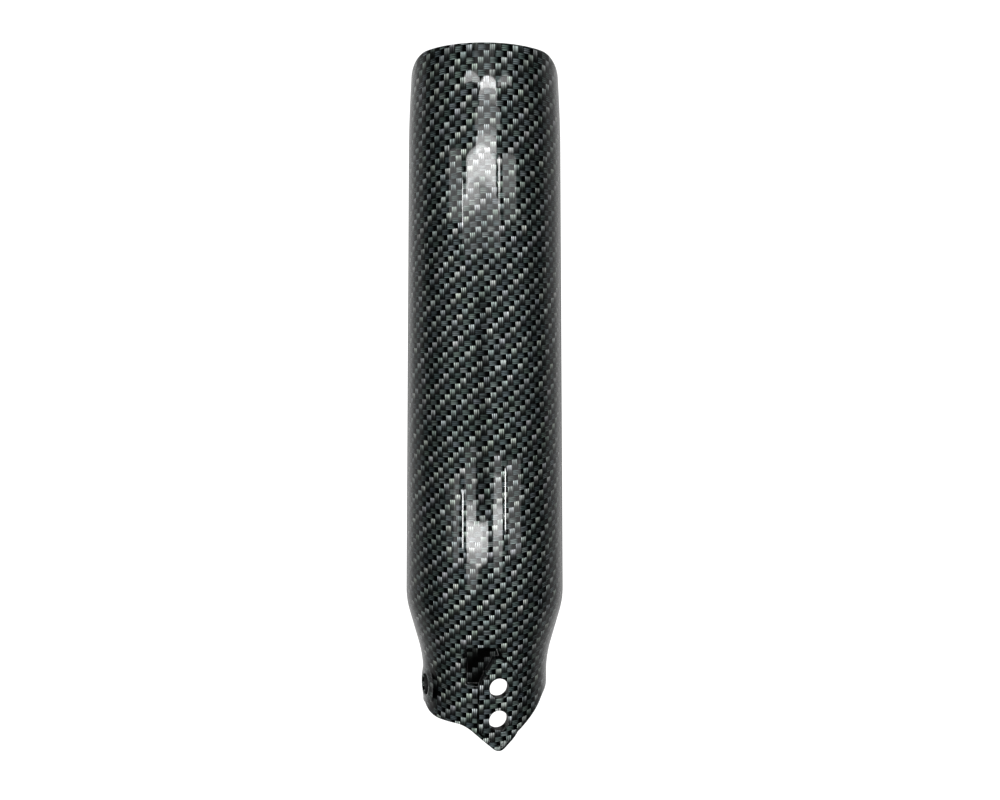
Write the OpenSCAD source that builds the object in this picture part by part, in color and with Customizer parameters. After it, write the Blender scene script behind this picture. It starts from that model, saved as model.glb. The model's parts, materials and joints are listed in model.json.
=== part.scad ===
// Guard for one leg of an upside-down motorcycle fork: a half shell, open at the back,
// moulded in black plastic, with a carbon-look printed film over its outside.
// Z runs up the fork leg's axis, the front faces -Y, and the origin is on that axis,
// level with the upper front bolt. All sizes are in millimetres.

/* [Tube] */
// Height of the top rim above the upper front bolt
top_z = 289; // [270:0.5:300]
// Outside radius at the rolled top rim
rim_r = 34.3; // [33:0.1:34.6]
// Outside radius just below the rolled rim
tube_top_r = 35.8; // [35:0.1:36]
// Outside radius at the shoulder, where the tube is widest
shoulder_r = 37; // [36.2:0.1:38]
// Height over which the top rolls inward
rim_roll = 30; // [20:1:40]
// Wall thickness of the moulding with its film
wall = 2.5; // [1.8:0.1:2.8]
// How far round from the front each side edge lies, in degrees
wrap = 93; // [90:1:100]
// Radius of the two top corners, seen from the front
top_corner_r = 8; // [4:0.5:10]

/* [Foot] */
// Height of the shoulder corner, where the taper begins
shoulder_z = 36; // [34:0.5:42]
// Height of the waist corner, where the taper ends
waist_z = 9; // [6:0.5:12]
// Outside radius of the foot below the waist
foot_r = 29.1; // [28.4:0.1:29.4]
// Distance of the tip to the right of the fork leg's axis
tip_x = 7; // [6:0.5:8]
// Depth of the sharp tip below the upper front bolt, before it is rounded
tip_drop = 29.8; // [28.6:0.2:32]
// Radius of the rounded tip
tip_r = 3.4; // [2:0.2:4]

/* [Front pad] */
// Turn of the front pad to the right of the front, in degrees
pad_turn = 13.5; // [11:0.5:16]
// Downward tilt of the front pad, in degrees
pad_tilt = 4; // [2:0.5:5]
// Distance of the pad's face from the fork leg's axis, at the upper bolt
pad_face = 30.2; // [29.8:0.1:30.8]
// Half of the pad's width
pad_half = 9.4; // [8.8:0.1:10]
// Height of the pad's blunt top above the upper front bolt
pad_top = 13.5; // [12.5:0.1:14.5]
// Width left round the pad along the pointed end
pad_margin = 1.7; // [1.2:0.1:2.4]
// Wall thickness at the two front bolts
pad_wall = 4.8; // [4.2:0.1:5.4]
// Distance between the two front bolts
bolt_gap = 14.7; // [13.5:0.1:15.5]
// Diameter of the two front bolt holes
front_hole = 9; // [8:0.1:9.4]

/* [Ramp beside the pad] */
// Upward tilt of the ramp's floor, in degrees
ramp_tilt = 9; // [7:0.5:11]
// Turn of the ramp's floor to the left of the front, in degrees
ramp_turn = 1; // [0:0.5:4]
// Distance of the ramp's floor from the fork leg's axis, level with the upper front bolt
ramp_floor = 27.6; // [27.4:0.1:28]
// Wall thickness behind the ramp
ramp_wall = 2; // [1.6:0.1:2.4]

/* [Side boss] */
// Turn of the side boss to the left of the front, in degrees
boss_turn = 70; // [67:1:73]
// Depth of the side boss's centre below the upper front bolt
boss_drop = 2.5; // [1.5:0.1:3.5]
// Diameter of the side boss's ring
boss_d = 18.6; // [17:0.2:19]
// Distance of the ring's inner lip from the fork leg's axis
boss_face = 29.4; // [29.1:0.1:30]
// Fall of the ring from its inner lip to its outer edge
boss_fall = 1; // [0.6:0.1:1.4]
// Wall thickness at the side bolt
boss_wall = 4.8; // [4.2:0.1:5.4]
// Diameter of the side bolt hole
side_hole = 9.4; // [8:0.1:9.8]

/* [Film] */
// Thickness of the printed film and its lacquer
film_t = 0.3; // [0.2:0.05:0.5]

/* [Hidden] */
$fn = 96;
arc_steps = 8;
reach = 60;
low_z = -40;
top_cut = 27;
seat_margin = 1;
seat_top = 8;
boss_lip = 0.7;
boss_root = 15;
flank = 2.8;
flank_slope = 0.8;
waist_round = 14;
shoulder_round = 9;
roll_round = 60;
tip_left = [-8.6, -16.8];
tip_right_slope = 1.01;
pad_tip_shift = 0.6;

// Unit vector along v
function unit(v) = v / norm(v);
// Direction of v, in degrees
function heading(v) = atan2(v[1], v[0]);
// The same turn, kept between -180 and 180 degrees
function short_turn(a) = a > 180 ? a - 360 : (a < -180 ? a + 360 : a);
// Points of the arc of radius r that rounds corner b between its neighbours a and c
function corner_arc(a, b, c, r) =
    let (
        u = unit(a - b),
        v = unit(c - b),
        half = acos(u * v) / 2,
        centre = b + unit(u + v) * r / sin(half),
        start = heading(b + u * r / tan(half) - centre),
        sweep = short_turn(heading(b + v * r / tan(half) - centre) - start)
    )
    [for (i = [0:arc_steps])
        let (a = start + sweep * i / arc_steps) centre + r * [cos(a), sin(a)]];
// A closed outline in which corner i is rounded to radius radii[i], and 0 keeps it sharp
function rounded(points, radii) =
    let (n = len(points))
    [for (i = [0:n - 1])
        each radii[i] == 0
            ? [points[i]]
            : corner_arc(points[(i + n - 1) % n], points[i], points[(i + 1) % n], radii[i])];

// Radius and height of the tube's outside, set in by inset, closed along the axis
function tube_profile(inset) = rounded(
    [
        [0, low_z],
        [foot_r - inset, low_z],
        [foot_r - inset, waist_z],
        [shoulder_r - inset, shoulder_z],
        [tube_top_r - inset, top_z - rim_roll],
        [rim_r - inset, top_z + 1],
        [0, top_z + 1]
    ],
    [0, 0, waist_round, shoulder_round, roll_round, 0, 0]
);

// The pad's pointed end, across from the pad's middle and up its face
pad_tip = [(tip_x - pad_face * sin(pad_turn)) / cos(pad_turn) + pad_tip_shift, -tip_drop];
left_slope = (tip_left[1] + tip_drop) / (tip_left[0] - tip_x);
pad_rise = pad_margin * sqrt(1 + left_slope * left_slope);
pad_left_low = pad_tip[1] + left_slope * (-pad_half - pad_tip[0]) + pad_rise;
pad_right_low = pad_tip[1] + tip_right_slope * (pad_half - pad_tip[0]) + pad_rise;

// Outline of the pad's face, set in by inset: across to the right, and up
function pad_outline(inset) = rounded(
    [
        [-pad_half + inset, pad_left_low],
        [-pad_half + inset, 2.2 - 0.3 * inset],
        [-3.8 + 0.9 * inset, 11 - 0.5 * inset],
        [-2.4 + 0.6 * inset, pad_top - inset],
        [1.6 - 0.4 * inset, pad_top - inset],
        [6.2 - 0.8 * inset, 9.4 - 0.6 * inset],
        [pad_half - inset, 2.5 - 0.2 * inset],
        [pad_half - inset, pad_right_low],
        [pad_tip[0], pad_tip[1] + pad_rise + inset]
    ],
    [2.5, 2, 2, 1.4, 4, 5, 3, 2.5, 2.5]
);

// Outline of the ramp: across to the right, and up its floor
ramp_outline = rounded(
    [[-7.5, 1.5], [-7.5, 17.8], [6.4, 18], [8.2, 13], [0, 1.5]],
    [1.2, 3.4, 1.5, 0, 0]
);

// Front outline of the moulding: across to the right, and up
front_outline = rounded(
    [
        [-reach, top_z - top_cut],
        [-tube_top_r - 1, top_z - top_cut],
        [-tube_top_r + 1.1, top_z],
        [tube_top_r - 1.1, top_z],
        [tube_top_r + 1, top_z - top_cut],
        [reach, top_z - top_cut],
        [reach, -tip_drop + tip_right_slope * (reach - tip_x)],
        [tip_x, -tip_drop],
        tip_left,
        [-26, -15.4],
        [-reach, -15.4]
    ],
    [0, 0, top_corner_r, top_corner_r, 0, 0, 0, tip_r, 8, 6, 0]
);

// Lower edge of each side, seen from the side: back, and up
left_side = rounded(
    [[-reach, low_z], [-23, low_z], [-19, -17], [-8.3, -11.8], [reach, -11.8], [reach, reach * 6],
     [-reach, reach * 6]],
    [0, 0, 3, 3, 0, 0, 0]
);
right_side = rounded(
    [[-reach, low_z], [-30, low_z], [-24, -20.9], [-11, -7.3], [0, -3.2], [reach, -3.2],
     [reach, reach * 6], [-reach, reach * 6]],
    [0, 0, 0, 10, 6, 0, 0, 0]
);

// Lays an outline drawn across and up onto a plane that faces out from the axis
module facing(turn) {
    rotate([0, 0, turn]) rotate([90, 0, 0]) children();
}

// Puts a shape on the pad's face, its origin at the upper bolt
module on_pad() {
    facing(pad_turn) translate([0, 0, pad_face]) rotate([pad_tilt, 0, 0]) children();
}

// Puts a shape on the side bolt's line, rising outward from the fork leg's axis
module on_side_bolt() {
    facing(-boss_turn) translate([0, -boss_drop, 0]) children();
}

// Solid of revolution of the tube's outside
module tube_solid(inset) {
    rotate_extrude() polygon(tube_profile(inset));
}

module pad_block(inset) {
    on_pad() translate([0, 0, -pad_half]) linear_extrude(pad_half - inset) polygon(pad_outline(inset));
}

// Space in front of the ramp's floor, its floor set in by depth
module ramp_space(depth) {
    rotate([0, 0, -ramp_turn])
        translate([0, -(ramp_floor - depth), 0])
        rotate([90 - ramp_tilt, 0, 0])
        linear_extrude(reach)
        polygon(ramp_outline);
}

// Ring with a sloping flank that runs out into the foot
module boss_block(inset) {
    ring_r = boss_d / 2 - inset / 2;
    lip_r = side_hole / 2 + boss_lip;
    edge_z = boss_face - boss_fall - inset;
    on_side_bolt() rotate_extrude()
        polygon([
            [0, boss_root],
            [ring_r + flank, boss_root],
            [ring_r + flank, edge_z - flank * flank_slope],
            [ring_r, edge_z],
            [lip_r, boss_face - inset],
            [0, boss_face - inset]
        ]);
}

// Everything inside the moulding's outside surface, set in by inset
module outside(inset) {
    difference() {
        union() {
            tube_solid(inset);
            boss_block(inset);
        }
        ramp_space(inset);
    }
    pad_block(inset);
}

// Flat seats on the inside, behind the three bolts
module inner_seats() {
    on_pad()
        translate([-pad_half - seat_margin, low_z, -pad_wall])
        cube([2 * (pad_half + seat_margin), seat_top - low_z, reach]);
    on_side_bolt()
        translate([0, 0, boss_face - boss_wall])
        cylinder(d = boss_d + 2 * seat_margin, h = reach);
}

// The channel that holds the fork leg
module channel() {
    difference() {
        tube_solid(wall);
        inner_seats();
        ramp_space(ramp_wall);
    }
}

// Half space on one side of the fork leg's axis, above that side's lower edge
module side_space(outline, direction) {
    rotate([90, 0, 90])
        translate([0, 0, direction < 0 ? -2 * reach : 0])
        linear_extrude(2 * reach)
        polygon(outline);
}

// Keeps what lies inside the front outline, the two lower edges and the side edges
module trimmed() {
    intersection() {
        children();
        rotate([90, 0, 0]) linear_extrude(2 * reach, center = true) polygon(front_outline);
        union() {
            side_space(left_side, -1);
            side_space(right_side, 1);
        }
        rotate([0, 0, -90 - wrap]) rotate_extrude(angle = 2 * wrap)
            translate([0, low_z]) square([reach, top_z - low_z]);
    }
}

module bolt_bores() {
    for (drop = [0, bolt_gap])
        on_pad() translate([0, -drop, -pad_half]) cylinder(d = front_hole, h = reach);
    on_side_bolt() translate([0, 0, boss_root]) cylinder(d = side_hole, h = reach);
}

module guard_shell() {
    color("#141516") difference() {
        trimmed() outside(film_t);
        channel();
        bolt_bores();
    }
}

module carbon_film() {
    color("#4a5150") difference() {
        trimmed() outside(0);
        outside(film_t);
        bolt_bores();
    }
}

guard_shell();
carbon_film();
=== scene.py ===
"""Fork guard: detailed meshes, printed carbon-look finish, studio light and camera.

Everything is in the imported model's frame: Z up the fork leg's axis, the front towards -Y.
Shapes are worked out in millimetres on a grid of angle and height, and turned into metres once.
"""

import json
import math

import bpy
import numpy as np
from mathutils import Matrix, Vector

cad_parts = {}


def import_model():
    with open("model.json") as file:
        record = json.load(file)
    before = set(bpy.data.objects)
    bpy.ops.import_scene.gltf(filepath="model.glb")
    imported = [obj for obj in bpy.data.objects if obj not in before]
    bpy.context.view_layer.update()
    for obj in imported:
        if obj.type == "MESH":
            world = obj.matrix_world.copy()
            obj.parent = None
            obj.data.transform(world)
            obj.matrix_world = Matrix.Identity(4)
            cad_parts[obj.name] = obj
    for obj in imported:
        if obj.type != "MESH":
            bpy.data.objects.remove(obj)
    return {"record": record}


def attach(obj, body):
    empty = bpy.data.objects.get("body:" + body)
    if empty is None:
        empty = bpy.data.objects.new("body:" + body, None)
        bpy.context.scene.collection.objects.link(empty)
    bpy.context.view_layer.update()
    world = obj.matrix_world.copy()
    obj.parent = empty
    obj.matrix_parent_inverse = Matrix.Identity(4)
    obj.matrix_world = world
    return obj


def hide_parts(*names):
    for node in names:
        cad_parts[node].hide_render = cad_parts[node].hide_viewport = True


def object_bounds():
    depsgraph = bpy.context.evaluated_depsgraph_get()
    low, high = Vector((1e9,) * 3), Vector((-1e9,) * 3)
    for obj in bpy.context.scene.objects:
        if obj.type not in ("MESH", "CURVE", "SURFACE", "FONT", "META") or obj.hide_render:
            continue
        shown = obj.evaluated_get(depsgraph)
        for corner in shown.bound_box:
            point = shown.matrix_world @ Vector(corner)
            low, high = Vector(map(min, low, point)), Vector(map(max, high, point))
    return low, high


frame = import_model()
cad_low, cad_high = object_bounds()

MM = 0.001
MOUNTS = {m["name"]: m for m in frame["record"]["mounts"]}

# ---------------------------------------------------------------- driving sizes, in millimetres
# the tube's outside: radii from the rim down, heights, and how softly each bend is rounded
TOP_Z = cad_high.z / MM
RIM_R, TUBE_TOP_R, SHOULDER_R, FOOT_R = 34.3, 35.8, 37.0, 29.1
SHOULDER_Z, WAIST_Z, RIM_ROLL, ROLL_OVERRUN = 36.0, 9.0, 30.0, 1.0
ROLL_ROUND, SHOULDER_ROUND, WAIST_ROUND = 0.5, 1.6, 2.2
# the wall: its thickness, the film's, and how far round from the front it reaches, in degrees
WALL, FILM, WRAP = 2.5, 0.3, 93.0
# how far out the side edges lie, about, and the rounded corners at their tops
SIDE_R = 32.0
TOP_CORNER_X, TOP_CORNER_R = 34.4, 8.0
# the lower edge: the sharp tip, how far its rounding cuts it short, and the lines beside it
TIP_X, TIP_Z, TIP_BLUNT = 7.0, -29.8, 1.4
TIP_LEFT_X, TIP_LEFT_Z, TIP_RIGHT_SLOPE = -8.6, -16.8, 1.01
FLAT_POINT, FLAT_SLOPE = (-26.0, -15.4), -0.085
FLAT_ROUND, NOTCH_ROUND, SIDE_ROUND, CORNER_ROUND = 3.0, 5.0, 1.5, 2.0
LEFT_BEND, LEFT_STEEP, LEFT_SLOPE, LEFT_TOP = (-19.0, -17.0), 5.9, 0.486, -11.8
RIGHT_START, RIGHT_STEEP = (-24.0, -20.9), 3.63
RIGHT_BEND, RIGHT_SLOPE = (-11.0, -7.3), 1.046
RIGHT_TOP, RIGHT_EASY_SLOPE = -3.2, 0.373
# a height below every cut
NO_CUT = -60.0
# the pad with its two bolts, and the black ramp beside it: angles in degrees
PAD_TURN, PAD_TILT, PAD_FACE, PAD_HALF = 13.5, 4.0, 30.2, 9.4
PAD_TOP, PAD_MARGIN, PAD_TIP_SHIFT, PAD_FLANK, BOLT_WALL = 13.5, 1.7, 0.6, 0.7, 4.8
RAMP_TURN, RAMP_TILT, RAMP_FLOOR, RAMP_WALL = 1.0, 9.0, 27.6, 2.0
RAMP_FLANK, RAMP_BACK_FLANK, RAMP_BACK_GROWTH = 0.9, 1.4, 1.6
# the boss of the side bolt: its crown falls by BOSS_FALL from the hole's lip out to BOSS_R, and
# nothing of it lies further round than BOSS_REACH, in radians
BOSS_TURN, BOSS_DROP, BOSS_R, BOSS_FACE = 70.0, 2.5, 9.3, 29.4
BOSS_FALL, BOSS_LIP, CROWN_POWER = 1.0, 0.7, 0.8
FLANK_SLOPE, BOSS_SKIRT, BOSS_ROUND = 0.8, 5.8, 0.5
BOSS_REACH = 0.9
# the flat seats behind the bolts
SEAT_TOP, SEAT_MARGIN, SEAT_FLANK = 8.0, 1.0, 0.8
FRONT_HOLE_R = MOUNTS["front_bolt_upper"]["dims"]["r_mm"]
SIDE_HOLE_R = MOUNTS["side_bolt"]["dims"]["r_mm"]
BOLT_GAP = 14.7
# rounded edges and hole lips outside, the share of them that the inside has, and how far from a
# hole's rim the plastic is darkened with painted shade in the bores
EDGE_R, LIP_R = 0.7, 0.5
INNER_EDGE, INNER_LIP, RIM_SHADE = 0.6, 0.5, 0.3
# how softly a plane cuts into the wall, and how far out and how far round planes are followed
CUT_ROUND, FAR_OUT, LEAST_COS = 0.4, 45.0, 0.2


# ---------------------------------------------------------------- small numeric helpers
def smooth_max(a, b, k):
    """The larger of a and b, rounded over a width of k."""
    h = np.clip(0.5 + 0.5 * (a - b) / k, 0, 1)
    return b * (1 - h) + a * h + k * h * (1 - h)


def smooth_min(a, b, k):
    """The smaller of a and b, rounded over a width of k."""
    return -smooth_max(-a, -b, k)


def ease(x):
    """Rises smoothly from 0 to 1 as x goes from 0 to 1."""
    x = np.clip(x, 0, 1)
    return x * x * (3 - 2 * x)


def past(x, start, width):
    """0 up to start, then rising smoothly to 1 over a width."""
    return ease((x - start) / width)


def before(x, end, width):
    """1 up to a width short of end, then falling smoothly to 0."""
    return ease((end - x) / width)


def across_edge(distance, width):
    """Rises smoothly from 0 to 1 over a width centred on distance 0."""
    return ease(distance / width + 0.5)


def bump(x, centre, half, soft):
    """1 within half of centre, falling to 0 over soft."""
    return ease((half + soft - np.abs(x - centre)) / soft)


def line(x, through, slope):
    """Height at x of a line of that slope through a point."""
    return through[1] + slope * (x - through[0])


def fillet_drop(distance, radius):
    """How far a rounded edge of that radius falls, at a distance in from the edge."""
    d = np.clip(distance, 0, radius)
    return radius - np.sqrt(np.maximum(radius * radius - (radius - d) ** 2, 0))


def corner_arc(a, b, c, r, steps=8):
    """Points of the arc of radius r that rounds corner b between its neighbours a and c."""
    a, b, c = (np.array(p, float) for p in (a, b, c))
    u = (a - b) / np.linalg.norm(a - b)
    v = (c - b) / np.linalg.norm(c - b)
    half = math.acos(float(u @ v)) / 2
    middle = (u + v) / np.linalg.norm(u + v)
    centre = b + middle * r / math.sin(half)
    start, end = ((b + w * r / math.tan(half)) - centre for w in (u, v))
    first = math.atan2(start[1], start[0])
    sweep = (math.atan2(end[1], end[0]) - first + math.pi) % (2 * math.pi) - math.pi
    angles = first + sweep * np.linspace(0, 1, steps + 1)
    return [centre + r * np.array([math.cos(t), math.sin(t)]) for t in angles]


def rounded(corners):
    """A closed outline from (x, y, corner radius) rows."""
    n = len(corners)
    points = []
    for i, (x, y, r) in enumerate(corners):
        around = corners[i - 1][:2], (x, y), corners[(i + 1) % n][:2]
        points += corner_arc(*around, r) if r else [np.array([x, y], float)]
    return np.array(points)


def inside_distance(x, y, outline):
    """Distance of points from an outline, positive inside it."""
    best = np.full(x.shape, 1e9)
    crossings = np.zeros(x.shape, bool)
    for (ax, ay), (bx, by) in zip(outline, np.roll(outline, -1, axis=0)):
        ex, ey = bx - ax, by - ay
        t = np.clip(((x - ax) * ex + (y - ay) * ey) / (ex * ex + ey * ey + 1e-12), 0, 1)
        best = np.minimum(best, np.hypot(x - ax - t * ex, y - ay - t * ey))
        if ay != by:
            spans = (ay > y) != (by > y)
            crossings ^= spans & (x < ax + (y - ay) * ex / ey)
    return np.where(crossings, best, -best)


# ---------------------------------------------------------------- outlines
PAD_LEFT_SLOPE = (TIP_LEFT_Z - TIP_Z) / (TIP_LEFT_X - TIP_X)
PAD_RISE = PAD_MARGIN * math.hypot(1, PAD_LEFT_SLOPE)
PAD_TIP_REACH = TIP_X - PAD_FACE * math.sin(math.radians(PAD_TURN))
PAD_TIP_X = PAD_TIP_REACH / math.cos(math.radians(PAD_TURN)) + PAD_TIP_SHIFT
PAD_LEFT_LOW = TIP_Z + PAD_LEFT_SLOPE * (-PAD_HALF - PAD_TIP_X) + PAD_RISE
PAD_RIGHT_LOW = TIP_Z + TIP_RIGHT_SLOPE * (PAD_HALF - PAD_TIP_X) + PAD_RISE
# corners as distances across and up the plane, each with the radius that rounds it
PAD_OUTLINE = rounded([
    (-PAD_HALF, PAD_LEFT_LOW, 2.5), (-PAD_HALF, 2.2, 2), (-3.8, 11, 2), (-2.4, PAD_TOP, 1.4),
    (1.6, PAD_TOP, 4), (6.2, 9.4, 5), (PAD_HALF, 2.5, 3), (PAD_HALF, PAD_RIGHT_LOW, 2.5),
    (PAD_TIP_X, TIP_Z + PAD_RISE, 2.5),
])
RAMP_OUTLINE = rounded([
    (-7.5, 1.5, 1.2), (-7.5, 18.4, 3.4), (6.4, 18.6, 1.5), (8.2, 13, 0), (0, 1.5, 0),
])


def cut_height(x, y):
    """Height at which the lower edge is cut off, at a place seen from above."""
    left = line(x, (TIP_LEFT_X, TIP_LEFT_Z), PAD_LEFT_SLOPE)
    right = line(x, (TIP_X, TIP_Z), TIP_RIGHT_SLOPE)
    flat = line(x, FLAT_POINT, FLAT_SLOPE)
    front = smooth_max(smooth_min(left, flat, FLAT_ROUND), right, NOTCH_ROUND)
    left_lines = line(y, LEFT_BEND, LEFT_STEEP), line(y, LEFT_BEND, LEFT_SLOPE), 0 * y + LEFT_TOP
    left_side = np.where(x < 0, np.minimum.reduce(left_lines), NO_CUT)
    easy = line(y, (0, RIGHT_TOP), RIGHT_EASY_SLOPE)
    low_side = smooth_min(line(y, RIGHT_BEND, RIGHT_SLOPE), easy, SIDE_ROUND)
    right_lines = line(y, RIGHT_START, RIGHT_STEEP), low_side, 0 * y + RIGHT_TOP
    right_side = np.where(x > 0, np.minimum.reduce(right_lines), NO_CUT)
    return smooth_max(front, smooth_max(left_side, right_side, SIDE_ROUND), CORNER_ROUND)


def top_edge(theta):
    """Height of the rim: level, then falling round the two top corners."""
    x = np.abs(RIM_R * np.sin(theta)) - (TOP_CORNER_X - TOP_CORNER_R)
    return TOP_Z - fillet_drop(TOP_CORNER_R - np.maximum(x, 0), TOP_CORNER_R)


# ---------------------------------------------------------------- radius by angle and height
def tube_radius(z):
    """Radius of the outside without the pad, the ramp and the boss."""
    cone = FOOT_R + (z - WAIST_Z) * (SHOULDER_R - FOOT_R) / (SHOULDER_Z - WAIST_Z)
    roll_z = TOP_Z - RIM_ROLL
    tube = SHOULDER_R + (z - SHOULDER_Z) * (TUBE_TOP_R - SHOULDER_R) / (roll_z - SHOULDER_Z)
    roll = TUBE_TOP_R + (z - roll_z) * (RIM_R - TUBE_TOP_R) / (TOP_Z + ROLL_OVERRUN - roll_z)
    upper = smooth_min(tube, roll, ROLL_ROUND)
    return smooth_max(smooth_min(cone, upper, SHOULDER_ROUND), FOOT_R + 0 * z, WAIST_ROUND)


class Plane:
    """A plane that faces out of the guard: turned round the axis, tilted down, at a distance."""

    def __init__(self, turn, tilt_down, distance):
        self.turn, self.tilt, self.distance = math.radians(turn), math.radians(tilt_down), distance
        flat = np.array([math.sin(self.turn), -math.cos(self.turn), 0])
        self.point = distance * flat
        self.normal = flat * math.cos(self.tilt) - np.array([0, 0, math.sin(self.tilt)])
        self.up = flat * math.sin(self.tilt) + np.array([0, 0, math.cos(self.tilt)])
        self.across = np.array([math.cos(self.turn), math.sin(self.turn), 0])

    def radius(self, theta, z, depth=0.0):
        """Radius at which a line out from the axis meets the plane, set in by depth."""
        reach = self.distance - depth / math.cos(self.tilt) + z * math.tan(self.tilt)
        return reach / np.maximum(np.cos(theta - self.turn), LEAST_COS)

    def local(self, theta, r, z):
        """Distances across and up the plane, from its middle point."""
        p = np.stack([r * np.sin(theta), -r * np.cos(theta), z + 0 * theta], -1) - self.point
        return p @ self.across, p @ self.up

    def place(self, theta, z, depth=0.0):
        """Distances across and up the plane, set in by depth, where lines from the axis meet it."""
        return self.local(theta, np.minimum(self.radius(theta, z, depth), FAR_OUT), z)


PAD = Plane(PAD_TURN, PAD_TILT, PAD_FACE)
RAMP = Plane(-RAMP_TURN, -RAMP_TILT, RAMP_FLOOR)
BOSS = Plane(-BOSS_TURN, 0, BOSS_FACE)
BOSS.point = BOSS.point - np.array([0, 0, BOSS_DROP])


def boss_radius(theta, z):
    """Radius of the boss's ring and flank, low away from it."""
    r = np.full(np.broadcast(theta, z).shape, BOSS_FACE)
    turn = theta + math.radians(BOSS_TURN)
    lip = SIDE_HOLE_R + BOSS_LIP
    for _ in range(6):
        out = np.hypot(r * np.sin(turn), z + BOSS_DROP)
        ring = BOSS_FACE - BOSS_FALL * past(out, lip, BOSS_R - lip) ** CROWN_POWER
        height = ring - FLANK_SLOPE * np.maximum(out - BOSS_R, 0)
        r = np.where(np.abs(turn) < BOSS_REACH, height / np.maximum(np.cos(turn), LEAST_COS), 0)
    return np.where(out < BOSS_R + BOSS_SKIRT, r, 0)


def outer_radius(theta, z):
    """Radius of the finished outside."""
    r = smooth_max(tube_radius(z) + 0 * theta, boss_radius(theta, z), BOSS_ROUND)
    ramp_r = RAMP.radius(theta, z)
    in_ramp = across_edge(inside_distance(*RAMP.place(theta, z), RAMP_OUTLINE), RAMP_FLANK)
    r = r + (smooth_min(r, ramp_r, CUT_ROUND) - r) * in_ramp
    in_pad = across_edge(inside_distance(*PAD.place(theta, z), PAD_OUTLINE), PAD_FLANK)
    return r + (PAD.radius(theta, z) - r) * in_pad


def low_line(theta):
    """Height of the lower edge out on the finished surface."""
    z = cut_height(FOOT_R * np.sin(theta), -FOOT_R * np.cos(theta))
    for _ in range(4):
        r = outer_radius(theta, z) - EDGE_R
        z = cut_height(r * np.sin(theta), -r * np.cos(theta))
    return z


# the lower edge's height, worked out once at close angles that reach past both side edges
LOW_THETA = np.linspace(-1.75, 1.75, 1401)
LOW_LINE = low_line(LOW_THETA)


def low_edge(theta):
    """Height of the lower edge at angles round from the front, in radians."""
    return np.interp(theta, LOW_THETA, LOW_LINE)


def inner_radius(theta, z):
    """Radius of the finished inside, with its seats and the back of the ramp."""
    r = tube_radius(z) - WALL + 0 * theta
    grown = inside_distance(*RAMP.place(theta, z, RAMP_WALL), RAMP_OUTLINE) + RAMP_BACK_GROWTH
    back = smooth_min(r, RAMP.radius(theta, z, RAMP_WALL), CUT_ROUND)
    r = r + (back - r) * across_edge(grown, RAMP_BACK_FLANK)
    across, up = PAD.place(theta, z, BOLT_WALL)
    on_seat = across_edge(PAD_HALF + SEAT_MARGIN - np.abs(across), SEAT_FLANK)
    on_seat = on_seat * across_edge(SEAT_TOP - up, SEAT_FLANK)
    r = r + (smooth_min(r, PAD.radius(theta, z, BOLT_WALL), CUT_ROUND) - r) * on_seat
    across, up = BOSS.place(theta, z, BOLT_WALL)
    on_seat = across_edge(BOSS_R + SEAT_MARGIN - np.hypot(across, up), SEAT_FLANK)
    return r + (smooth_min(r, BOSS.radius(theta, z, BOLT_WALL), CUT_ROUND) - r) * on_seat


# ---------------------------------------------------------------- grid of angle and height
# grid lines per degree and per millimetre: everywhere, and how many more round some places,
# each given by its middle, half its width and the width over which it fades
COLUMN_DENSITY = 0.4, ((1.35, 9, 27, 6), (1.15, -74, 22, 6))
ROW_DENSITY = 0.16, ((2.5, -8, 24, 5), (0.7, 28, 16, 6), (0.35, TOP_Z - 8, 20, 8))
# rows follow the lower edge below LOW_FIX and the rim above TOP_FIX, and are level between them
BASE_LOW, LOW_FIX, TOP_FIX = TIP_Z + TIP_BLUNT, 19.0, TOP_Z - 20
# grid lines this far in from every edge shape its rounding
EDGE_LINES = np.array([0.06, 0.18, 0.34, 0.52, EDGE_R])
EDGE_DEGREES = np.degrees(EDGE_LINES / SIDE_R)


def spread(low, high, density, fixed, samples=4000):
    """Grid lines from low to high, as close together as density says, and the fixed ones."""
    x = np.linspace(low, high, samples)
    base, extras = density
    per_unit = base + 0 * x
    for extra, *place in extras:
        per_unit = per_unit + extra * bump(x, *place)
    total = np.concatenate([[0], np.cumsum((per_unit[1:] + per_unit[:-1]) / 2 * np.diff(x))])
    count = int(round(total[-1])) + 1
    return np.unique(np.concatenate([np.interp(np.linspace(0, total[-1], count), total, x), fixed]))


COLUMNS = spread(-WRAP, WRAP, COLUMN_DENSITY, [*(EDGE_DEGREES - WRAP), *(WRAP - EDGE_DEGREES)])
ROWS = spread(BASE_LOW, TOP_Z, ROW_DENSITY, [*(BASE_LOW + EDGE_LINES), *(TOP_Z - EDGE_LINES)])


def base_grid():
    """Angle in radians and height of every grid point, its edges on the moulding's edges."""
    theta, z = np.meshgrid(np.radians(COLUMNS), ROWS)
    low, top = low_edge(theta), top_edge(theta)
    foot = LOW_FIX - (LOW_FIX - z) * (LOW_FIX - low) / (LOW_FIX - BASE_LOW)
    head = TOP_FIX + (z - TOP_FIX) * (top - TOP_FIX) / (TOP_Z - TOP_FIX)
    z = np.where(z < LOW_FIX, foot, np.where(z > TOP_FIX, head, z))
    return theta, z


# the share of a hole's patch that is its rim's square, and the power that draws the rings of
# points round it closer to the rim
PATCH_KEEP, RING_SPREAD, TINY = 2 / 3, 1.3, 1e-9
# a hole shapes only what lies less than this far behind its bolt's face, in millimetres
BEHIND = -12.0


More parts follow.
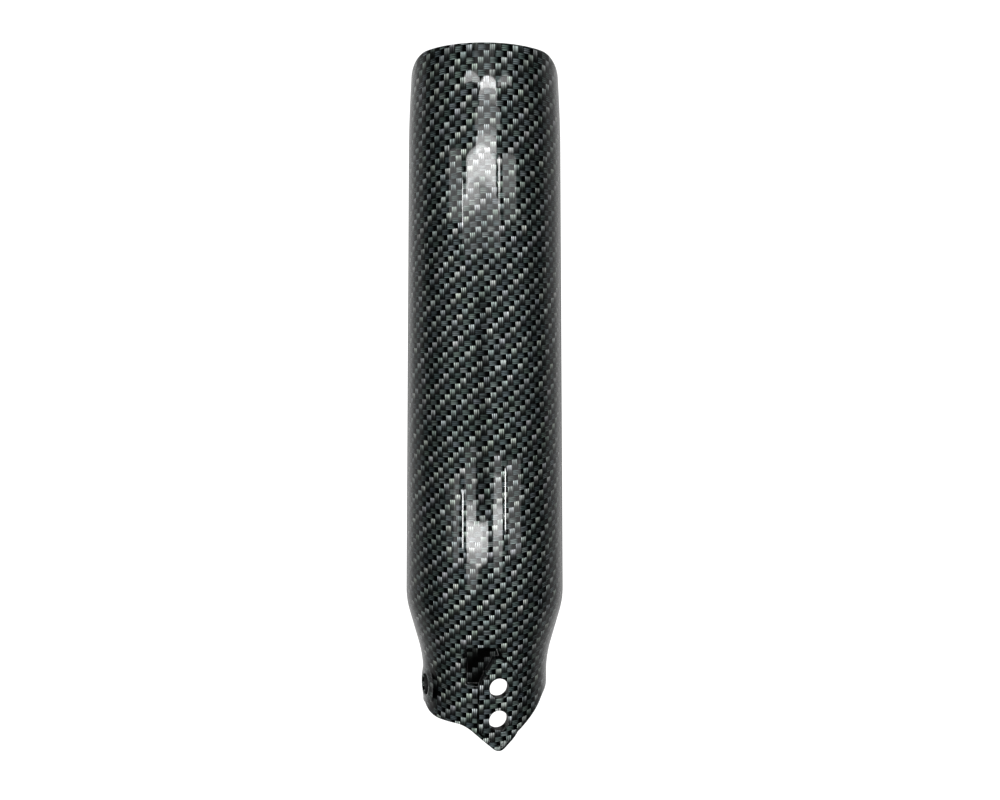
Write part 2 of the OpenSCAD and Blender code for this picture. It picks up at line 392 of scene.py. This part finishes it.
class Hole:
    """A round hole through the wall, whose rim the grid is bent round.

    The grid is moved within a patch that reaches that many rows and columns to each side of the
    middle. A square inside it becomes the rim, and the grid inside the square is left out.
    """

    def __init__(self, plane, drop, radius, cells):
        self.plane, self.radius, self.cells = plane, radius, cells
        self.left_out = [int(round(PATCH_KEEP * c)) for c in cells]
        self.centre = plane.point - drop * plane.up

    def rim(self, angle, depth):
        """Angle and height of rim points at a depth below the plane."""
        around = np.cos(angle)[:, None] * self.plane.across + np.sin(angle)[:, None] * self.plane.up
        p = self.centre + self.radius * around - depth * self.plane.normal
        return np.arctan2(p[:, 0], -p[:, 1]), p[:, 2]

    def find(self, theta, z):
        """Notes the row and column of the grid point nearest to the hole's middle."""
        middle = np.arctan2(self.centre[0], -self.centre[1])
        far = ((theta - middle) * FOOT_R) ** 2 + (z - self.centre[2]) ** 2
        self.row, self.column = np.unravel_index(far.argmin(), far.shape)

    def square(self):
        """Grid steps from the middle to the points of the rim's square, counter-clockwise."""
        high, wide = self.left_out
        up, right = np.arange(-high, high), np.arange(-wide, wide)
        rows = np.concatenate([up, np.full(2 * wide, high), -up, np.full(2 * wide, -high)])
        columns = np.concatenate([np.full(2 * high, wide), -right, np.full(2 * high, -wide), right])
        return rows, columns

    def bend(self, theta, z, depth):
        """New places for the grid points of the patch, its inner square on the rim."""
        high, wide = self.cells
        dj, di = np.mgrid[-high:high + 1, -wide:wide + 1]
        a, b = di / wide, dj / high
        size = np.maximum(np.abs(a), np.abs(b))
        move = (size >= PATCH_KEEP - TINY) & (size < 1 - TINY)
        a, b = a / size.clip(TINY), b / size.clip(TINY)
        a, b, size, di, dj = (v[move] for v in (a, b, size, di, dj))
        quarter = math.pi / 4
        flat = np.abs(a) >= np.abs(b)
        angle = np.where(flat, np.where(a > 0, b * quarter, math.pi - b * quarter),
                         np.where(b > 0, math.pi / 2 - a * quarter, -math.pi / 2 + a * quarter))
        rim_theta, rim_z = self.rim(angle, depth)
        edge = [sample(v, self.row + b * high, self.column + a * wide) for v in (theta, z)]
        t = ((size - PATCH_KEEP) / (1 - PATCH_KEEP)) ** RING_SPREAD
        at = self.row + dj, self.column + di
        new_theta = rim_theta + (edge[0] - rim_theta) * t
        new_z = rim_z + (edge[1] - rim_z) * t
        return at, new_theta, new_z


def sample(grid, row, column):
    """Value of a grid between its points."""
    j, i = np.floor(row).astype(int), np.floor(column).astype(int)
    j, i = np.minimum(j, grid.shape[0] - 2), np.minimum(i, grid.shape[1] - 2)
    v, u = row - j, column - i
    return ((grid[j, i] * (1 - u) + grid[j, i + 1] * u) * (1 - v)
            + (grid[j + 1, i] * (1 - u) + grid[j + 1, i + 1] * u) * v)


THETA, Z = base_grid()
HOLES = [
    Hole(PAD, 0, FRONT_HOLE_R, (18, 24)),
    Hole(PAD, BOLT_GAP, FRONT_HOLE_R, (18, 24)),
    Hole(BOSS, 0, SIDE_HOLE_R, (21, 24)),
]
for hole in HOLES:
    hole.find(THETA, Z)


def bent_grid(depth):
    """The grid with its holes, their rims at a depth below each bolt's face."""
    theta, z = THETA.copy(), Z.copy()
    for hole in HOLES:
        at, new_theta, new_z = hole.bend(THETA, Z, depth)
        theta[at], z[at] = new_theta, new_z
    return theta, z


def rim_distance(theta, r, z):
    """Distance of points on a surface from the nearest hole's rim, along the bolt's face."""
    best = np.full(theta.shape, 1e9)
    for hole in HOLES:
        p = np.stack([r * np.sin(theta), -r * np.cos(theta), z], -1) - hole.centre
        near = p @ hole.plane.normal > BEHIND
        out = np.hypot(p @ hole.plane.across, p @ hole.plane.up) - hole.radius
        best = np.where(near, np.minimum(best, out), best)
    return best


def edge_distance(theta, z):
    """Distance of grid points from the moulding's nearest edge."""
    side = (math.radians(WRAP) - np.abs(theta)) * SIDE_R
    slope = np.gradient(low_edge(THETA[0]), THETA[0] * FOOT_R)
    low = (z - low_edge(theta)) / np.hypot(1, np.interp(theta, THETA[0], slope))
    return np.minimum(np.minimum(side, top_edge(theta) - z), low)


def surface(kind, inset=0.0):
    """The outside or the inside as a grid of points in millimetres, with its angles and heights."""
    outside = kind == "outer"
    theta, z = bent_grid(0.0 if outside else BOLT_WALL)
    r = outer_radius(theta, z) if outside else inner_radius(theta, z)
    sign = -1 if outside else 1
    edge = EDGE_R if outside else EDGE_R * INNER_EDGE
    lip = LIP_R if outside else LIP_R * INNER_LIP
    edge_drop = fillet_drop(edge_distance(theta, z), edge)
    lip_drop = fillet_drop(rim_distance(theta, r, z), lip)
    r = r + sign * (np.maximum(edge_drop, lip_drop) + inset)
    return np.stack([r * np.sin(theta), -r * np.cos(theta), z], -1), theta, z


# ---------------------------------------------------------------- meshes
def add_object(name, data):
    """A new object in the scene."""
    thing = bpy.data.objects.new(name, data)
    bpy.context.scene.collection.objects.link(thing)
    return thing


def removed_faces(shape):
    """True for the grid faces inside the holes."""
    gone = np.zeros((shape[0] - 1, shape[1] - 1), bool)
    for hole in HOLES:
        high, wide = hole.left_out
        gone[hole.row - high:hole.row + high, hole.column - wide:hole.column + wide] = True
    return gone


def closed_mesh(name, outer, inner, outer_data):
    """A closed wall between two grids of points, with its edges and hole walls stitched.

    Both grids carry outer_data as the attribute print_place.
    """
    rows, columns = outer.shape[:2]
    index = np.arange(rows * columns).reshape(rows, columns)
    keep = ~removed_faces((rows, columns))
    quads = np.stack([index[:-1, :-1], index[:-1, 1:], index[1:, 1:], index[1:, :-1]], -1)[keep]
    count = rows * columns
    faces = [quads, quads[:, ::-1] + count]
    border = np.concatenate([index[0, :-1], index[:-1, -1], index[-1, :0:-1], index[:0:-1, 0]])
    loops = [(border, False)]
    for hole in HOLES:
        j, i = hole.square()
        loops.append((index[hole.row + j, hole.column + i], True))
    for loop, is_hole in loops:
        after = np.roll(loop, -1)
        wall = np.stack([loop, loop + count, after + count, after], -1)
        faces.append(wall[:, ::-1] if is_hole else wall)
    faces = np.concatenate(faces)
    used = np.unique(faces)
    number = np.zeros(2 * count, int)
    number[used] = np.arange(len(used))
    points = np.concatenate([outer.reshape(-1, 3), inner.reshape(-1, 3)])[used] * MM
    mesh = bpy.data.meshes.new(name)
    mesh.from_pydata(points.tolist(), [], number[faces].tolist())
    mesh.validate()
    attribute = mesh.attributes.new("print_place", "FLOAT_VECTOR", "POINT")
    data = np.concatenate([outer_data.reshape(-1, 3), outer_data.reshape(-1, 3)])[used]
    attribute.data.foreach_set("vector", data.astype(np.float32).ravel())
    mesh.shade_smooth()
    return add_object(name, mesh)


# ---------------------------------------------------------------- where the print lies
# a tow's width, in millimetres, and the arc and the height by which the film's drift is scaled
TOW_ACROSS, TOW_UP = 2.64, 2.36
PRINT_MIDDLE_Z = 140.0
DRIFT_ARC, DRIFT_UP = 36.0, 100.0
EVEN_ARC = 1.15
# the drift itself, in tows
LEAN, LEAN_CURL, SQUEEZE = 2.28, 0.43, 0.55
TILT, TILT_EASE, BOW, BOW_EASE = 0.93, 0.31, 0.8, 0.79
STRETCH_2, STRETCH_3, STRETCH_4 = 0.22, 0.46, 0.39
FIRST_ACROSS, FIRST_UP = -2.03, 0.06
# within FRONT_ARC degrees of the front the film bridges the relief instead of following it
FRONT_ARC, FRONT_FADE = 62, 10
# where painted shade turns the print black: where each fade starts or ends and its width, in
# millimetres, from the ramp's outline, from the pad's, on the pad's face and from the boss
RAMP_SHADE_START, RAMP_SHADE_STOP = (-0.35, 0.5), (-0.24, 0.4)
GROOVE_SHADE_START, GROOVE_SHADE_STOP = (-1.1, 0.3), (0.1, 0.2)
GROOVE_SHADE_TOP, GROOVE_SHADE_LEFT, GROOVE_SHADE_FOOT = (6.5, 1.5), (-5.5, 2), (-25, 3)
FLANK_SHADE_START, FLANK_SHADE_STOP, FLANK_SHADE_SIDE = (BOSS_R - 0.4, 0.4), (BOSS_R + 3.4, 0.5), (0.3, 1.2)
FLANK_SHADE_REACH = 9
# painted shade: how much darker the print gets towards the sides, in degrees; and a painted dark
# reflection in a streak down the middle of the tube, given by its middle, half its width and its
# fade, in millimetres
SIDE_PAINTED_SHADE, SIDE_PAINTED_SHADE_FROM, SIDE_PAINTED_SHADE_OVER = 0.42, 20, 20
STREAK_PAINTED_REFLECTION, REFLECTION_STREAK_ACROSS, REFLECTION_STREAK_UP = 0.5, (-1.15, 1.4, 2.6), (127.5, 44, 9)


def tow_numbers(theta, z):
    """Tow number across and tow number up, with the drift of a film that is wrapped on by hand.

    The film leans a little, is squeezed towards its side edges, bows down at the sides, less so
    towards the top, and is stretched at its two ends.
    """
    arc = theta * tube_radius(z) / DRIFT_ARC
    near = np.clip(arc, -EVEN_ARC, EVEN_ARC)
    up = (z - PRINT_MIDDLE_Z) / DRIFT_UP
    lean, squeeze = LEAN * up - LEAN_CURL * up ** 3, SQUEEZE * near ** 3
    tilt, bow = near * (TILT_EASE * up ** 2 - TILT), near ** 2 * (BOW_EASE * up - BOW)
    stretch = STRETCH_2 * up ** 2 + STRETCH_3 * up ** 3 + STRETCH_4 * up ** 4
    across = arc * DRIFT_ARC / TOW_ACROSS + lean - squeeze + FIRST_ACROSS
    upward = up * DRIFT_UP / TOW_UP + tilt + bow - stretch + FIRST_UP
    return across, upward


def painted_shade_places(theta, r, z):
    """1 where painted shade and dark reflection turn the print black: on the ramp, in the pad's
    groove, beside the boss.
    """
    across, up = PAD.place(theta, z)
    in_pad = inside_distance(across, up, PAD_OUTLINE)
    in_ramp = inside_distance(*RAMP.place(theta, z), RAMP_OUTLINE)
    # painted shade in the recessed ramp and in the pad's groove
    ramp = past(in_ramp, *RAMP_SHADE_START) * (1 - past(in_pad, *RAMP_SHADE_STOP))
    groove = past(in_pad, *GROOVE_SHADE_START) * (1 - past(in_pad, *GROOVE_SHADE_STOP))
    left_groove_shade = before(across, *GROOVE_SHADE_LEFT) * past(up, *GROOVE_SHADE_FOOT)
    groove = groove * np.maximum(past(up, *GROOVE_SHADE_TOP), left_groove_shade)
    # painted shade and painted dark reflection on the flank beside the boss
    turn = theta + math.radians(BOSS_TURN)
    out = np.hypot(r * np.sin(turn), z + BOSS_DROP)
    flank = past(out, *FLANK_SHADE_START) * before(out, *FLANK_SHADE_STOP)
    flank = flank * past(np.sin(turn) * FLANK_SHADE_REACH, *FLANK_SHADE_SIDE)
    return np.maximum.reduce([ramp, groove, flank])


def print_place(theta, r, z):
    """Tow number across, tow number up, and the share of the print left by painted shade and
    painted dark reflection.
    """
    turn = np.abs(theta)
    in_front = before(turn, math.radians(FRONT_ARC), math.radians(FRONT_FADE))
    seen = np.arcsin(np.clip(r * np.sin(theta) / tube_radius(z), -0.999, 0.999))
    s, t = tow_numbers(theta + (seen - theta) * in_front, z)
    # painted shade darkens the print towards the sides; a painted dark reflection darkens a streak
    # down the middle
    side = past(turn, math.radians(SIDE_PAINTED_SHADE_FROM), math.radians(SIDE_PAINTED_SHADE_OVER))
    reflection_streak = bump(theta * SHOULDER_R, *REFLECTION_STREAK_ACROSS) * bump(z, *REFLECTION_STREAK_UP)
    painted_shade = 1 - np.maximum(SIDE_PAINTED_SHADE * side, STREAK_PAINTED_REFLECTION * reflection_streak)
    return np.stack([s, t, (1 - painted_shade_places(theta, r, z)) * painted_shade], -1)


# ---------------------------------------------------------------- node helpers
class Nodes:
    """Short forms for building a node tree."""

    def __init__(self, tree):
        self.tree = tree
        tree.nodes.clear()

    def add(self, kind, **settings):
        """A new node with those settings."""
        node = self.tree.nodes.new(kind)
        for key, value in settings.items():
            setattr(node, key, value)
        return node

    def put(self, value, socket):
        """Links a socket's value to an input, or sets it to a constant."""
        if isinstance(value, bpy.types.NodeSocket):
            self.tree.links.new(value, socket)
        else:
            socket.default_value = value

    def math(self, operation, *values):
        """The outcome of a maths node."""
        node = self.add("ShaderNodeMath", operation=operation)
        for value, socket in zip(values, node.inputs):
            self.put(value, socket)
        return node.outputs[0]

    def vector(self, x, y, z=0.0):
        """Three numbers as one vector."""
        node = self.add("ShaderNodeCombineXYZ")
        for value, socket in zip((x, y, z), node.inputs):
            self.put(value, socket)
        return node.outputs[0]

    def split(self, vector):
        """The three numbers of a vector."""
        node = self.add("ShaderNodeSeparateXYZ")
        self.put(vector, node.inputs[0])
        return node.outputs

    def ramp(self, fac, stops):
        """The colour at fac between stops of position and colour."""
        node = self.add("ShaderNodeValToRGB")
        ramp = node.color_ramp
        while len(ramp.elements) < len(stops):
            ramp.elements.new(0.5)
        for element, (position, colour) in zip(ramp.elements, stops):
            element.position = position
            element.color = (*colour, 1)
        self.put(fac, node.inputs[0])
        return node.outputs[0]

    def mix(self, fac, a, b, blend="MIX"):
        """Colour a mixed with colour b by fac."""
        node = self.add("ShaderNodeMix", data_type="RGBA", blend_type=blend)
        for value, socket in zip((fac, a, b), (node.inputs[0], node.inputs[6], node.inputs[7])):
            self.put(value, socket)
        return node.outputs[2]

    def noise(self, vector, scale, detail=2.0, roughness=0.5):
        """Smooth noise between 0 and 1."""
        node = self.add("ShaderNodeTexNoise")
        node.inputs["Scale"].default_value = scale
        node.inputs["Detail"].default_value = detail
        node.inputs["Roughness"].default_value = roughness
        self.put(vector, node.inputs["Vector"])
        return node.outputs[0]

    def chance(self, x, y):
        """A random number and colour for each pair of whole numbers."""
        node = self.add("ShaderNodeTexWhiteNoise", noise_dimensions="2D")
        self.put(self.vector(x, y), node.inputs["Vector"])
        return node.outputs["Value"], node.outputs["Color"]

    def surface(self, shader):
        """Ends the tree in a material or world output."""
        kind = "World" if shader.type == "BACKGROUND" else "Material"
        self.put(shader.outputs[0], self.add("ShaderNodeOutput" + kind).inputs[0])


def node_material(name):
    """A new material and its empty node tree."""
    material = bpy.data.materials.new(name)
    material.use_nodes = True
    return material, Nodes(material.node_tree)


def grey(value, tint=(1.0, 1.0, 1.0)):
    """A colour of that sRGB brightness, 0 to 255, as linear light, tinted."""
    c = value / 255
    linear = c / 12.92 if c < 0.04045 else ((c + 0.055) / 1.055) ** 2.4
    return tuple(linear * t for t in tint)


# the twill repeats every TWILL tows and a float passes over OVER of them; the level floats start
# LEVEL_SHIFT tows from the upright ones
TWILL, OVER, LEVEL_SHIFT = 4.0, 2.0, 3.0
TOW_TINT, LEVEL_TINT, WHITE = (0.89, 1.0, 0.97), (0.81, 1.0, 0.99), (1.0, 1.0, 1.0)
# a float's colour from its foot to its head, or from its left to its right end
UPRIGHT_TONES = (0.0, 28), (0.25, 48), (0.48, 78), (0.68, 152), (0.92, 200), (1.0, 140)
LEVEL_TONES = (0.0, 93), (0.14, 119), (0.42, 104), (0.58, 67), (0.7, 11), (0.78, 0), (1.0, 0)
# the strands across a float, and the even tone that stands for them on a plain float
UPRIGHT_STRANDS = ((0.0, 200), (0.1, 255), (0.24, 84), (0.39, 255), (0.55, 64), (0.72, 255),
                   (0.9, 84), (1.0, 64))
LEVEL_STRANDS = ((0.0, 130), (0.14, 255), (0.3, 90), (0.46, 255), (0.62, 90), (0.78, 255),
                 (0.92, 96), (1.0, 160))
PLAIN_TONE = 188
CRISP_LEAST, CRISP_RANGE = 0.4, 0.8
# broken fibres: lines per tow across and along, their contrast and their level
FIBRES_ACROSS, FIBRES_ALONG, FIBRE_CONTRAST, FIBRE_LEVEL = 5.5, 0.9, 2.8, -0.35
# how far apart the fibres of two floats can start, and what makes a second chance from the first
FIBRE_SHIFT, CHANCE_STEP = 40.0, 7.0
# how bright a float is at least and how much brighter by chance, and how little its tint varies
BRIGHT_LEAST, BRIGHT_RANGE, TINT_EVEN = 0.7, 0.7, 0.9
# how much of the upright floats still shows where painted shade turns the print black
SHADED_UPRIGHT = 0.16


def tones(stops, tint=WHITE):
    """Colour stops from stops of position and brightness, tinted."""
    return [(position, grey(value, tint)) for position, value in stops]


def print_material():
    """The printed twill under lacquer: upright floats lighter upwards, level ones grey to black."""
    material, n = node_material("carbon_print")
    place = n.add("ShaderNodeAttribute", attribute_name="print_place")
    s, t, unshaded_share = n.split(place.outputs["Vector"])
    i, j = n.math("FLOOR", s), n.math("FLOOR", t)
    up_place = n.math("SUBTRACT", t, i)
    level_place = n.math("ADD", n.math("SUBTRACT", s, j), LEVEL_SHIFT)
    up_way = n.math("FLOORED_MODULO", up_place, TWILL)
    level_way = n.math("FLOORED_MODULO", level_place, TWILL)
    upright = n.math("LESS_THAN", up_way, OVER)

    def float_colour(tow, along_place, way, across, tone_stops, tint, strands):
        """A float's colour with its strands, fibres and brightness, and a colour by chance."""
        along = n.math("MULTIPLY", way, 1 / OVER)
        number = n.math("FLOOR", n.math("DIVIDE", along_place, TWILL))
        chance, chance_colour = n.chance(tow, number)
        fibre_place = n.vector(n.math("MULTIPLY", across, FIBRES_ACROSS),
                               n.math("MULTIPLY", along, FIBRES_ALONG),
                               n.math("MULTIPLY", chance, FIBRE_SHIFT))
        fibres = n.math("MULTIPLY_ADD", n.noise(fibre_place, 1.0), FIBRE_CONTRAST, FIBRE_LEVEL)
        bright = n.math("MULTIPLY_ADD", chance, BRIGHT_RANGE, BRIGHT_LEAST)
        strength = n.math("MULTIPLY", fibres, bright)
        other_chance = n.math("FRACT", n.math("MULTIPLY", chance, CHANCE_STEP))
        crisp = n.math("MULTIPLY_ADD", other_chance, CRISP_RANGE, CRISP_LEAST)
        profile = n.mix(crisp, (*grey(PLAIN_TONE), 1), n.ramp(across, tones(strands)))
        colour = n.mix(1.0, n.ramp(along, tones(tone_stops, tint)), profile, "MULTIPLY")
        shade = n.vector(strength, strength, strength)
        return n.mix(1.0, colour, shade, "MULTIPLY"), chance_colour

    up_colour, up_chance = float_colour(
        i, up_place, up_way, n.math("FRACT", s), UPRIGHT_TONES, TOW_TINT, UPRIGHT_STRANDS)
    level_colour, level_chance = float_colour(
        n.math("ADD", j, 0.5), level_place, level_way, n.math("FRACT", t),
        LEVEL_TONES, LEVEL_TINT, LEVEL_STRANDS)
    tint = n.mix(TINT_EVEN, n.mix(upright, level_chance, up_chance), (*WHITE, 1))
    colour = n.mix(1.0, n.mix(upright, level_colour, up_colour), tint, "MULTIPLY")
    # painted shade: the print goes black there, keeping a trace of its upright floats
    shaded_colour = n.mix(n.math("MULTIPLY", upright, SHADED_UPRIGHT), (*grey(1), 1), colour)

    shader = n.add("ShaderNodeBsdfPrincipled")
    # the attribute's third number darkens the print: painted shade and painted dark reflection
    n.put(n.mix(unshaded_share, shaded_colour, colour), shader.inputs["Base Color"])
    shader.inputs["Roughness"].default_value = 0.42
    shader.inputs["Specular IOR Level"].default_value = 0.02
    shader.inputs["Coat Weight"].default_value = 1.0
    shader.inputs["Coat Roughness"].default_value = 0.03
    shader.inputs["Coat IOR"].default_value = 1.5
    n.surface(shader)
    return material


def plastic_material():
    """Black moulded plastic, satin, with a fine grain; rougher at the cut holes, whose bores are
    darkened with painted shade.
    """
    material, n = node_material("black_plastic")
    place = n.add("ShaderNodeTexCoord").outputs["Object"]
    grain = n.noise(place, 900.0, 4.0, 0.6)
    broad = n.noise(place, 40.0, 3.0, 0.5)
    # 1 at the holes' rims, where the bores get painted shade and more roughness
    cut = n.split(n.add("ShaderNodeAttribute", attribute_name="print_place").outputs["Vector"])[2]
    shader = n.add("ShaderNodeBsdfPrincipled")
    bare = n.mix(broad, (*grey(34), 1), (*grey(44, (1.0, 1.0, 1.02)), 1))
    # painted shade: the bores are near black
    n.put(n.mix(cut, bare, (*grey(3), 1)), shader.inputs["Base Color"])
    rough = n.math("MULTIPLY_ADD", broad, 0.25, 0.3)
    n.put(n.math("MULTIPLY_ADD", cut, 0.6, rough), shader.inputs["Roughness"])
    shader.inputs["Specular IOR Level"].default_value = 0.3
    relief = n.add("ShaderNodeBump")
    relief.inputs["Strength"].default_value = 0.25
    relief.inputs["Distance"].default_value = 0.0001
    n.put(grain, relief.inputs["Height"])
    n.put(relief.outputs[0], shader.inputs["Normal"])
    n.surface(shader)
    return material


# ---------------------------------------------------------------- camera, light and floor
GLOSS_ENVIRONMENT = [
    # share of the way from the front to the back, brightness
    (0.0, grey(26)), (0.5, grey(38)), (0.58, grey(90)), (0.65, grey(160)), (0.72, grey(172)),
    (0.8, grey(180)), (0.87, grey(210)), (0.95, grey(202)), (1.0, grey(60)),
]
ROOM_LIGHT = 0.02
LAMP_DISTANCE = 1200.0
STRIPS = (
    # the lacquer's highlights, from the top down: name, azimuth in degrees, lowest and highest z
    # and width in millimetres, radiance
    ("upper_core", -4.5, 456, 516, 960, 7.0),
    ("upper_hot", -4.0, 468, 508, 880, 4.5),
    ("upper_hot_top", 3.0, 508, 538, 640, 7.5),
    ("upper_tip", 4.0, 538, 562, 600, 4.0),
    ("upper_foot", -4.0, 440, 456, 1200, 3.6),
    ("upper_foot_left", -20.0, 424, 456, 560, 2.6),
    ("upper_low_foot", -4.0, 416, 440, 1280, 2.4),
    ("upper_mid_foot", -4.0, 390, 416, 1280, 1.4),
    ("upper_last_foot", -3.0, 360, 390, 1200, 0.7),
    ("upper_slit", 21.8, 446, 496, 60, 12.0),
    ("upper_slit_foot", 21.8, 418, 446, 56, 5.0),
    ("upper_left_line", -31.6, 396, 462, 16, 24.0),
    ("upper_side", 37.0, 440, 500, 440, 2.8),
    ("upper_side_foot", 38.0, 404, 440, 420, 1.4),
    ("upper_left_side", -43.0, 404, 510, 420, 1.9),
    ("top_core", 6.0, 698, 726, 500, 14.0),
    ("top_core_foot", 6.0, 678, 698, 580, 6.5),
    ("top_core_last_foot", 6.0, 640, 678, 560, 3.6),
    ("top_haze", 5.0, 562, 640, 800, 2.4),
    ("top_upper_haze", 0.0, 734, 1000, 640, 0.8),
    ("top_left", -18.5, 715, 732, 500, 7.0),
    ("top_right", 31.0, 706, 724, 460, 4.5),
    ("lower_core", -9.8, -80, -37, 660, 9.0),
    ("lower_core_hot", -14.0, -76, -38, 500, 3.5),
    ("lower_top", -18.5, -37, -6, 300, 6.0),
    ("lower_top_haze", -20.0, -6, 44, 340, 1.8),
    ("lower_upper_haze", -20.0, 44, 74, 340, 0.9),
    ("lower_right", 19.4, -56, -12, 280, 9.0),
    ("lower_right_top", 19.4, -12, 34, 240, 4.0),
    ("lower_right_last_top", 19.4, 34, 64, 240, 1.4),
    ("lower_right_foot", 19.4, -84, -56, 280, 4.0),
    ("lower_right_last_foot", 19.4, -112, -84, 260, 1.6),
    ("lower_left_glow", -40.0, -96, 30, 180, 1.5),
    ("lower_left_line", -30.4, -74, 10, 34, 22.0),
    ("lower_right_line", 30.2, -48, 42, 30, 26.0),
    ("lower_foot", -10.0, -98, -80, 620, 6.0),
    ("lower_mid_foot", -17.0, -116, -98, 360, 3.2),
    ("lower_last_foot", -17.0, -136, -116, 300, 1.6),
    ("lower_left_side", -46.0, -90, 20, 440, 0.5),
    ("lower_side", 44.0, -84, 54, 420, 1.5),
)
CAMERA_PLACE = (7.26, -547.0, 129.7)
CAMERA_LENS, CAMERA_SENSOR = 41.49, 36.0
FLOOR_HALF = 6.0


def make_camera():
    """A level camera that looks along +Y."""
    data = bpy.data.cameras.new("camera")
    data.lens, data.sensor_width = CAMERA_LENS, CAMERA_SENSOR
    camera = add_object("camera", data)
    camera.location = [v * MM for v in CAMERA_PLACE]
    camera.rotation_euler = (math.pi / 2, 0, 0)
    bpy.context.scene.camera = camera


def make_world():
    """White to the camera; to the gloss dark in front and light behind; dim to everything else."""
    world = bpy.data.worlds.new("studio")
    bpy.context.scene.world = world
    world.use_nodes = True
    n = Nodes(world.node_tree)
    way = n.split(n.add("ShaderNodeTexCoord").outputs["Generated"])
    gloss = n.ramp(n.math("MULTIPLY_ADD", way[1], 0.5, 0.5), GLOSS_ENVIRONMENT)
    ray = n.add("ShaderNodeLightPath")
    seen = n.mix(ray.outputs["Is Diffuse Ray"], gloss, (*[ROOM_LIGHT] * 3, 1))
    light = n.add("ShaderNodeBackground")
    n.put(n.mix(ray.outputs["Is Camera Ray"], seen, (*WHITE, 1)), light.inputs["Color"])
    n.surface(light)


def softbox(name, azimuth, middle_z, size, radiance, distance=LAMP_DISTANCE, mirrored=True):
    """A level panel light that faces the fork leg's axis from an azimuth round from the front."""
    turn = math.radians(azimuth)
    wide, tall = size[0] * MM, size[1] * MM
    data = bpy.data.lights.new(name, "AREA")
    data.shape, data.size, data.size_y = "RECTANGLE", wide, tall
    data.energy = radiance * math.pi * wide * tall
    lamp = add_object(name, data)
    place = distance * math.sin(turn), -distance * math.cos(turn), middle_z
    lamp.location = [v * MM for v in place]
    lamp.rotation_euler = (math.pi / 2, 0, turn)
    lamp.visible_camera = False
    lamp.visible_glossy = mirrored


def make_lights():
    """The panels that the lacquer mirrors, and two fills that it doesn't."""
    for name, azimuth, low_z, high_z, wide, radiance in STRIPS:
        softbox(name, azimuth, (low_z + high_z) / 2, (wide, high_z - low_z), radiance)
    softbox("front_fill", -4, 190, (500, 500), 17.0, distance=1250.0, mirrored=False)
    softbox("back_fill", 180, 300, (1200, 900), 3.0, distance=1300.0, mirrored=False)


def make_floor():
    """A plain white floor at the tip, seen by the camera only."""
    data = bpy.data.meshes.new("floor")
    corners = [(x * FLOOR_HALF, y * FLOOR_HALF, (TIP_Z + TIP_BLUNT) * MM)
               for x, y in ((-1, -1), (1, -1), (1, 1), (-1, 1))]
    data.from_pydata(corners, [], [(0, 1, 2, 3)])
    floor = add_object("floor", data)
    material, n = node_material("pale_floor")
    shader = n.add("ShaderNodeEmission")
    shader.inputs["Color"].default_value = (*WHITE, 1)
    n.surface(shader)
    data.materials.append(material)
    floor.visible_glossy = False
    floor.visible_diffuse = False


# ---------------------------------------------------------------- build
make_camera()
make_world()
make_lights()
make_floor()
bpy.context.scene.view_settings.view_transform = "Standard"
bpy.context.scene.view_settings.look = "Medium High Contrast"

outside, theta, z = surface("outer")
under_film = surface("outer", FILM)[0]
inside = surface("inner")[0]
outer_place = print_place(theta, np.hypot(outside[..., 0], outside[..., 1]), z)
film = closed_mesh("carbon_film_skin", outside, under_film, outer_place)
film.data.materials.append(print_material())
# the shell has no print: its attribute's third number is 1 at the rims of the holes, where painted
# shade darkens the bores
off_rim = np.abs(rim_distance(theta, np.hypot(inside[..., 0], inside[..., 1]), z))
shell_place = np.stack([0 * z, 0 * z, before(off_rim, RIM_SHADE, RIM_SHADE)], -1)
shell = closed_mesh("guard_shell_body", under_film, inside, shell_place)
shell.data.materials.append(plastic_material())
for piece, node, slot in (
    (film, "carbon_film", "carbon_print"),
    (shell, "guard_shell", "black_plastic"),
):
    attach(piece, "root")
    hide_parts(node)
